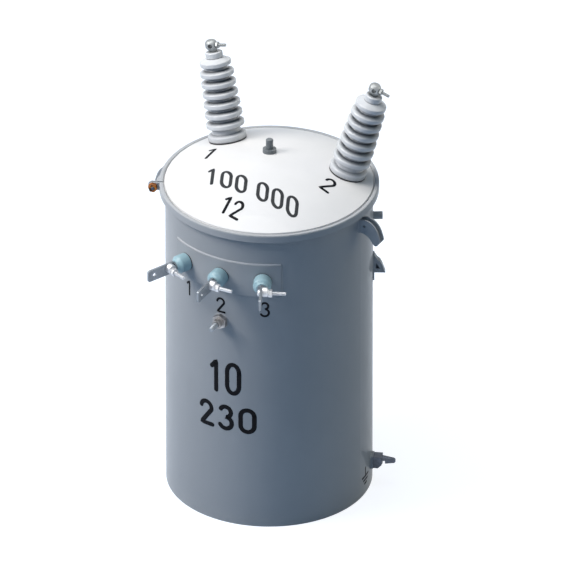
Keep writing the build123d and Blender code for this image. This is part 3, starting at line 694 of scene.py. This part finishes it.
class Maker:
    """Node material under construction, with short calls for the nodes used here."""

    def __init__(self, name):
        self.material = bpy.data.materials.new(name)
        self.material.use_nodes = True
        self.nodes = self.material.node_tree.nodes
        self.links = self.material.node_tree.links
        self.shader = self.nodes["Principled BSDF"]
        self.place = self.nodes.new("ShaderNodeTexCoord").outputs["Object"]

    def set(self, **values):
        for name, value in values.items():
            self.shader.inputs[name.replace("_", " ")].default_value = value

    def join(self, source, target):
        self.links.new(source, target)

    def noise(self, scale, detail=4.0, roughness=0.55, stretch=(1, 1, 1)):
        mapping = self.nodes.new("ShaderNodeMapping")
        mapping.inputs["Scale"].default_value = stretch
        self.join(self.place, mapping.inputs["Vector"])
        texture = self.nodes.new("ShaderNodeTexNoise")
        texture.inputs["Scale"].default_value = scale
        texture.inputs["Detail"].default_value = detail
        texture.inputs["Roughness"].default_value = roughness
        self.join(mapping.outputs["Vector"], texture.inputs["Vector"])
        return texture.outputs["Fac"]

    def spread(self, value, low, high, to_low=0.0, to_high=1.0):
        node = self.nodes.new("ShaderNodeMapRange")
        node.inputs["From Min"].default_value = low
        node.inputs["From Max"].default_value = high
        node.inputs["To Min"].default_value = to_low
        node.inputs["To Max"].default_value = to_high
        self.join(value, node.inputs["Value"])
        return node.outputs["Result"]

    def math(self, operation, first, second):
        node = self.nodes.new("ShaderNodeMath")
        node.operation = operation
        self.join(first, node.inputs[0])
        self.join(second, node.inputs[1])
        return node.outputs["Value"]

    def recess(self, reach, low, high):
        """From 0 deep in a recess to 1 on open surfaces; a mask for painted shade."""
        node = self.nodes.new("ShaderNodeAmbientOcclusion")
        node.inputs["Distance"].default_value = reach
        node.samples = 8
        return self.spread(node.outputs["AO"], low, high)

    def height(self):
        split = self.nodes.new("ShaderNodeSeparateXYZ")
        self.join(self.place, split.inputs["Vector"])
        return split.outputs["Z"]

    def mix(self, factor, first, second):
        node = self.nodes.new("ShaderNodeMix")
        node.data_type = "RGBA"
        for name, value in (("A", first), ("B", second)):
            socket = [s for s in node.inputs if s.name == name and s.type == "RGBA"][0]
            if isinstance(value, tuple):
                socket.default_value = (*value, 1.0)
            else:
                self.join(value, socket)
        self.join(factor, node.inputs["Factor"])
        return [s for s in node.outputs if s.type == "RGBA"][0]

    def colour(self, value):
        self.join(value, self.shader.inputs["Base Color"])

    def roughness(self, value, low, high):
        self.join(self.spread(value, 0.3, 0.7, low, high), self.shader.inputs["Roughness"])

    def bump(self, value, strength, distance, edge=0.0006):
        bump = self.nodes.new("ShaderNodeBump")
        bump.inputs["Strength"].default_value = strength
        bump.inputs["Distance"].default_value = distance
        self.join(value, bump.inputs["Height"])
        bevel = self.nodes.new("ShaderNodeBevel")
        bevel.inputs["Radius"].default_value = edge
        self.join(bevel.outputs["Normal"], bump.inputs["Normal"])
        self.join(bump.outputs["Normal"], self.shader.inputs["Normal"])


def paint(name, colour, dusty):
    """Sprayed gloss enamel: faint orange peel, slow changes of tone, dust that lies and runs."""
    maker = Maker(name)
    slow = maker.noise(6.0, 5.0)
    fine = maker.noise(420.0, 2.0)
    dust = maker.noise(55.0, 8.0, 0.72)
    runs = maker.noise(30.0, 6.0, 0.6, (1, 1, 0.06))
    darker = tuple(channel * 0.95 for channel in colour)
    tone = maker.mix(maker.spread(slow, 0.35, 0.65), darker, colour)
    streaks = maker.spread(runs, 0.50, 0.80, 0.0, 0.22)
    tone = maker.mix(streaks, tone, dusty)
    speck = maker.spread(dust, 0.60, 0.80, 0.0, 0.45)
    low = maker.spread(maker.height(), 0.035, 0.0, 0.0, 0.5)
    grime = maker.math("MAXIMUM", speck, maker.math("MULTIPLY", low, maker.spread(dust, 0.35, 0.6)))
    maker.colour(maker.mix(grime, tone, dusty))
    maker.roughness(dust, 0.28, 0.42)
    maker.bump(fine, 0.25, 0.0002, 0.0008)
    maker.set(Specular_IOR_Level=0.03, Coat_Weight=0.18, Coat_Roughness=0.05, Coat_IOR=1.4)
    return maker.material


def flat_paint(name, colour, worn):
    """Brushed lettering paint, slightly uneven."""
    maker = Maker(name)
    wear = maker.noise(220.0, 6.0, 0.7)
    maker.colour(maker.mix(maker.spread(wear, 0.55, 0.85, 0.0, 0.4), colour, worn))
    maker.roughness(wear, 0.30, 0.45)
    maker.bump(wear, 0.2, 0.0002, 0.0002)
    maker.set(Specular_IOR_Level=0.05)
    return maker.material


def porcelain(name):
    """Thick glaze that carries faint mottling."""
    maker = Maker(name)
    mottle = maker.noise(90.0, 6.0, 0.6)
    slow = maker.noise(14.0, 3.0)
    base = maker.mix(maker.spread(slow, 0.3, 0.7), (0.58, 0.585, 0.59), (0.63, 0.63, 0.63))
    glaze = maker.mix(maker.spread(mottle, 0.55, 0.75, 0.0, 0.4), base, (0.51, 0.52, 0.53))
    # Painted shade: an ambient-occlusion mask turns the glaze nearly black in the recesses between
    # the sheds
    maker.colour(maker.mix(maker.recess(0.028, 0.40, 0.75), (0.055, 0.062, 0.07), glaze))
    maker.roughness(mottle, 0.12, 0.22)
    maker.bump(slow, 0.25, 0.0008, 0.0012)
    maker.set(Specular_IOR_Level=0.45)
    return maker.material


def resin(name):
    """Cast teal resin, satin, with a slightly chalky skin."""
    maker = Maker(name)
    chalk = maker.noise(160.0, 7.0, 0.65)
    slow = maker.noise(30.0, 3.0)
    base = maker.mix(maker.spread(slow, 0.3, 0.7), (0.28, 0.43, 0.475), (0.34, 0.50, 0.54))
    maker.colour(maker.mix(maker.spread(chalk, 0.50, 0.75, 0.0, 0.45), base, (0.38, 0.50, 0.53)))
    maker.roughness(chalk, 0.34, 0.48)
    maker.bump(chalk, 0.2, 0.0002, 0.001)
    maker.set(Specular_IOR_Level=0.3, Coat_Weight=0.2, Coat_Roughness=0.2)
    return maker.material


def rubber(name):
    maker = Maker(name)
    grain = maker.noise(380.0, 5.0, 0.6)
    worn = maker.spread(grain, 0.45, 0.75)
    maker.colour(maker.mix(worn, (0.022, 0.022, 0.023), (0.055, 0.055, 0.056)))
    maker.roughness(grain, 0.55, 0.75)
    maker.bump(grain, 0.4, 0.0003)
    return maker.material


def metal(name, bright, dull, smooth, rough, grain_scale):
    """Bare or plated metal with dull patches and a fine surface grain."""
    maker = Maker(name)
    patch = maker.noise(45.0, 7.0, 0.65)
    grain = maker.noise(grain_scale, 4.0, 0.6)
    maker.colour(maker.mix(maker.spread(patch, 0.42, 0.66), bright, dull))
    maker.roughness(patch, smooth, rough)
    maker.bump(grain, 0.35, 0.00025, 0.0004)
    maker.set(Metallic=1.0)
    return maker.material


def rusty_plating(name):
    """Yellow zinc plating gone to brown rust in patches."""
    maker = Maker(name)
    patch = maker.noise(110.0, 8.0, 0.7)
    grain = maker.noise(500.0, 5.0, 0.65)
    rust = maker.spread(patch, 0.44, 0.58)
    yellow = maker.mix(maker.spread(grain, 0.3, 0.7), (0.46, 0.16, 0.022), (0.34, 0.11, 0.018))
    maker.colour(maker.mix(rust, yellow, (0.045, 0.016, 0.008)))
    maker.join(maker.spread(rust, 0.0, 1.0, 0.75, 0.05), maker.shader.inputs["Metallic"])
    maker.join(maker.spread(rust, 0.0, 1.0, 0.35, 0.8), maker.shader.inputs["Roughness"])
    maker.bump(patch, 0.5, 0.0004, 0.0004)
    return maker.material


def dark_fitting(name):
    maker = Maker(name)
    grain = maker.noise(240.0, 6.0, 0.6)
    worn = maker.spread(grain, 0.4, 0.7)
    maker.colour(maker.mix(worn, (0.115, 0.130, 0.138), (0.16, 0.175, 0.182)))
    maker.roughness(grain, 0.28, 0.42)
    maker.bump(grain, 0.3, 0.0003)
    return maker.material


# Paints: name, colour and the colour of the dust on it
PAINTS = (
    ("grey_paint", (0.410, 0.415, 0.420), (0.46, 0.455, 0.44)),
    ("band_paint", (0.430, 0.435, 0.440), (0.47, 0.465, 0.45)),
    # cover_paint is the tank's grey made much paler: painted light standing in for the bright
    # overhead light on the cover
    ("cover_paint", (0.755, 0.735, 0.715), (0.67, 0.655, 0.63)),
    # A paler grey that paints a highlight on the top bead of the low-voltage panel
    ("edge_paint", (0.600, 0.600, 0.600), (0.50, 0.50, 0.49)),
)
# Metals: name, bright and dull colour, roughness of both, and scale of the grain
METALS = (
    ("tinned_metal", (0.28, 0.31, 0.345), (0.21, 0.235, 0.265), 0.50, 0.62, 300.0),
    ("cast_metal", (0.35, 0.37, 0.38), (0.26, 0.275, 0.285), 0.44, 0.62, 220.0),
    ("plated_bolt", (0.66, 0.68, 0.71), (0.50, 0.52, 0.55), 0.44, 0.58, 500.0),
    ("earth_bronze", (0.44, 0.435, 0.44), (0.24, 0.235, 0.24), 0.42, 0.58, 260.0),
    ("dark_bronze", (0.085, 0.10, 0.13), (0.045, 0.052, 0.065), 0.28, 0.48, 260.0),
)
# Lettering paints: name, colour and worn colour
LETTERINGS = (
    ("grey_lettering", (0.040, 0.041, 0.043), (0.07, 0.07, 0.072)),
    ("black_paint", (0.009, 0.009, 0.011), (0.028, 0.028, 0.031)),
)
OTHER_LOOKS = {
    "grey_porcelain": porcelain,
    "teal_resin": resin,
    "black_rubber": rubber,
    "rusty_yellow": rusty_plating,
    "dark_plastic": dark_fitting,
}
# Nodes that look different from the rest of their slot
SPECIAL_FINISHES = {
    "hv_connector_left": "cast_metal",
    "hv_connector_right": "cast_metal",
    "side_ground_clamp": "dark_bronze",
    "side_ground_bolt": "dark_bronze",
    "lv_saddle_1": "plated_bolt",
    "lv_saddle_2": "plated_bolt",
    "lv_saddle_3": "plated_bolt",
}


def all_materials():
    looks = {name: make(name) for name, make in OTHER_LOOKS.items()}
    for make, rows in ((paint, PAINTS), (metal, METALS), (flat_paint, LETTERINGS)):
        for name, *values in rows:
            looks[name] = make(name, *values)
    return looks


def dress_frame(frame, looks):
    """Gives every CAD node its material by its slot in the record."""
    slots = {row["node"]: row["material_slot"] for row in frame["record"]["subparts"]}
    finishes = {**slots, **SPECIAL_FINISHES}
    for node, thing in frame["nodes"].items():
        thing.data.materials.clear()
        thing.data.materials.append(looks[finishes[node]])


# Room

def make_camera():
    a = radians(VIEW_AZIMUTH)
    e = radians(VIEW_ELEVATION)
    back = Vector((sin(a) * cos(e), -cos(a) * cos(e), sin(e)))
    data = bpy.data.cameras.new("view")
    data.sensor_width = SENSOR_WIDTH
    data.lens = SENSOR_WIDTH * VIEW_DISTANCE / VIEW_WIDTH
    data.clip_start = 0.1
    data.clip_end = 200.0
    camera = bpy.data.objects.new("view", data)
    camera.location = VIEW_AIM + back * VIEW_DISTANCE
    camera.rotation_mode = "QUATERNION"
    camera.rotation_quaternion = (-back).to_track_quat("-Z", "Y")
    bpy.context.scene.collection.objects.link(camera)
    bpy.context.scene.camera = camera


def shown_white(nodes, links, kind, strength):
    """Share of rays from the camera, gloss and glass, and a white shader of the named kind."""
    path = nodes.new("ShaderNodeLightPath")
    seen = path.outputs["Is Camera Ray"]
    for name in ("Is Glossy Ray", "Is Transmission Ray"):
        either = nodes.new("ShaderNodeMath")
        either.operation = "MAXIMUM"
        links.new(seen, either.inputs[0])
        links.new(path.outputs[name], either.inputs[1])
        seen = either.outputs["Value"]
    white = nodes.new(kind)
    white.inputs["Color"].default_value = (1, 1, 1, 1)
    white.inputs["Strength"].default_value = strength
    return seen, white.outputs[0]


def make_floor():
    """Pale floor; what is seen of it is lifted to white and keeps the soft shadow."""
    mesh = bpy.data.meshes.new("floor")
    half = FLOOR_HALF
    corners = [(-half, -half, 0), (half, -half, 0), (half, half, 0), (-half, half, 0)]
    mesh.from_pydata(corners, [], [(0, 1, 2, 3)])
    floor = bpy.data.objects.new("floor", mesh)
    bpy.context.scene.collection.objects.link(floor)
    material = bpy.data.materials.new("floor")
    material.use_nodes = True
    nodes = material.node_tree.nodes
    links = material.node_tree.links
    shader = nodes["Principled BSDF"]
    shader.inputs["Base Color"].default_value = FLOOR_COLOUR
    shader.inputs["Roughness"].default_value = 0.9
    shader.inputs["Specular IOR Level"].default_value = 0.0
    seen, white = shown_white(nodes, links, "ShaderNodeEmission", FLOOR_GLOW)
    both = nodes.new("ShaderNodeAddShader")
    links.new(shader.outputs["BSDF"], both.inputs[0])
    links.new(white, both.inputs[1])
    chosen = nodes.new("ShaderNodeMixShader")
    links.new(seen, chosen.inputs["Fac"])
    links.new(shader.outputs["BSDF"], chosen.inputs[1])
    links.new(both.outputs["Shader"], chosen.inputs[2])
    links.new(chosen.outputs["Shader"], nodes["Material Output"].inputs["Surface"])
    mesh.materials.append(material)


def lamp(name, bearing, rise, distance, size, power, colour):
    """Soft round panel; bearing 0 is the viewer's side, 90 the viewer's right."""
    turn = radians(VIEW_AZIMUTH + bearing)
    lift = radians(rise)
    away = Vector((sin(turn) * cos(lift), -cos(turn) * cos(lift), sin(lift)))
    data = bpy.data.lights.new(name, "AREA")
    data.shape = "DISK"
    data.size = size
    data.energy = power
    data.color = colour
    thing = bpy.data.objects.new(name, data)
    thing.location = LAMP_AIM + away * distance
    thing.rotation_mode = "QUATERNION"
    thing.rotation_quaternion = (-away).to_track_quat("-Z", "Y")
    bpy.context.scene.collection.objects.link(thing)


def make_lamps():
    for row in LAMPS:
        lamp(*row)


def make_world():
    """White to the eye; as light, dim, cool from the left and front and plain from the right."""
    world = bpy.data.worlds.new("studio")
    bpy.context.scene.world = world
    world.use_nodes = True
    nodes = world.node_tree.nodes
    links = world.node_tree.links
    background = nodes["Background"]
    place = nodes.new("ShaderNodeTexCoord")
    side = nodes.new("ShaderNodeVectorMath")
    side.operation = "DOT_PRODUCT"
    turn = radians(VIEW_AZIMUTH)
    side.inputs[1].default_value = (cos(turn), sin(turn), 0)
    links.new(place.outputs["Generated"], side.inputs[0])
    share = nodes.new("ShaderNodeMapRange")
    share.inputs["From Min"].default_value = WORLD_TINT_FROM
    share.inputs["From Max"].default_value = WORLD_TINT_TO
    links.new(side.outputs["Value"], share.inputs["Value"])
    tint = nodes.new("ShaderNodeMix")
    tint.data_type = "RGBA"
    colours = [socket for socket in tint.inputs if socket.type == "RGBA"]
    colours[0].default_value = WORLD_LEFT
    colours[1].default_value = WORLD_RIGHT
    links.new(share.outputs["Result"], tint.inputs["Factor"])
    mixture = [socket for socket in tint.outputs if socket.type == "RGBA"][0]
    links.new(mixture, background.inputs["Color"])
    seen, white = shown_white(nodes, links, "ShaderNodeBackground", 1.0)
    mixed = nodes.new("ShaderNodeMixShader")
    links.new(seen, mixed.inputs["Fac"])
    links.new(background.outputs["Background"], mixed.inputs[1])
    links.new(white, mixed.inputs[2])
    links.new(mixed.outputs["Shader"], nodes["World Output"].inputs["Surface"])


def main():
    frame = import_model()
    looks = all_materials()
    dress_frame(frame, looks)
    all_fasteners(looks)
    all_welds(looks)
    all_marks(looks)
    make_camera()
    make_floor()
    make_lamps()
    make_world()
    bpy.context.scene.view_settings.view_transform = "Standard"


main()
